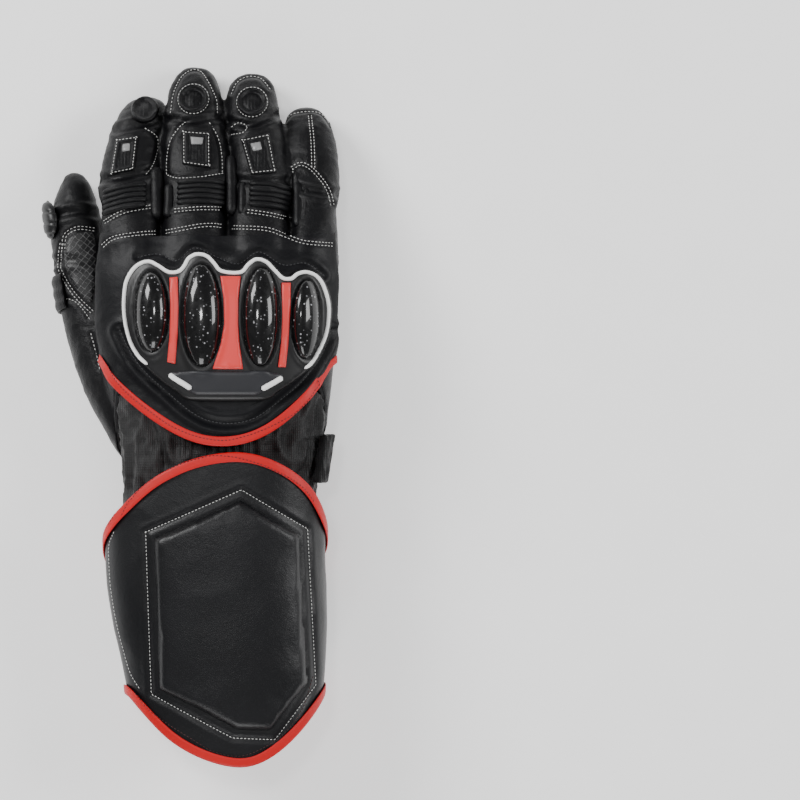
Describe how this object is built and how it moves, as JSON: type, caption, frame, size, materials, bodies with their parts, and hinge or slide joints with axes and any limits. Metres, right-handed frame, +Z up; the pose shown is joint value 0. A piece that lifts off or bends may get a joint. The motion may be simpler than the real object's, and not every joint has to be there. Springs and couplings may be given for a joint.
{
  "type": "motorcycle racing glove",
  "caption": "Right-hand long-cuff motorcycle racing glove with a hard knuckle protector, finger sliders, gathered wrist gaiter and wrap-over gauntlet cuff.",
  "frame": {"origin": "middle of the bounding box's bottom face, on the surface that the glove lies on", "axes": "+Z up, +Y from the cuff to the fingertips, the thumb at -X; the palm faces down"},
  "size_m": [0.1416, 0.325, 0.0723],
  "materials": {
    "black_leather": "satin grained leather",
    "black_stretch_fabric": "matt gathered stretch fabric",
    "red_leather": "satin folded leather binding",
    "matte_black_rubber": "matt moulded rubber",
    "gloss_carbon": "gloss over carbon fibre",
    "red_rubber": "satin moulded rubber",
    "white_rubber": "satin moulded rubber",
    "dark_grey_rubber": "satin moulded rubber",
    "grip_print_leather": "matt leather with a printed grip net"
  },
  "bodies": {
    "root": {"index_finger": "black_leather", "middle_finger": "black_leather", "ring_finger": "black_leather", "little_finger": "black_leather", "thumb": "black_leather", "hand_shell": "black_leather", "wrist_gaiter": "black_stretch_fabric", "back_panel": "black_leather", "back_panel_binding": "red_leather", "knuckle_base": "matte_black_rubber", "knuckle_dome_index": "gloss_carbon", "knuckle_dome_middle": "gloss_carbon", "knuckle_dome_ring": "gloss_carbon", "knuckle_dome_little": "gloss_carbon", "knuckle_inlay_left": "red_rubber", "knuckle_inlay_middle": "red_rubber", "knuckle_inlay_right": "red_rubber", "knuckle_white_line": "white_rubber", "knuckle_dash_left": "white_rubber", "knuckle_dash_right": "white_rubber", "knuckle_plate": "dark_grey_rubber", "cuff_panel": "black_leather", "cuff_binding": "red_leather", "cuff_pad": "black_leather", "tip_pad_index": "matte_black_rubber", "tip_pad_middle": "matte_black_rubber", "tip_pad_ring": "matte_black_rubber", "slider_index": "matte_black_rubber", "slider_middle": "matte_black_rubber", "slider_ring": "matte_black_rubber", "finger_ribs_index": "black_leather", "finger_ribs_middle": "black_leather", "finger_ribs_ring": "black_leather", "finger_gusset_index": "black_leather", "finger_gusset_middle": "black_leather", "finger_gusset_ring": "black_leather", "thumb_guard": "matte_black_rubber", "thumb_ribs": "black_leather", "thumb_patch": "grip_print_leather", "palm_grip": "grip_print_leather", "index_grip": "grip_print_leather", "middle_grip": "grip_print_leather", "heel_pad_outer": "black_leather", "heel_pad_inner": "black_leather", "wrist_strap": "black_stretch_fabric", "strap_keeper": "black_leather", "strap_tab": "black_leather"}
  },
  "joints": []
}
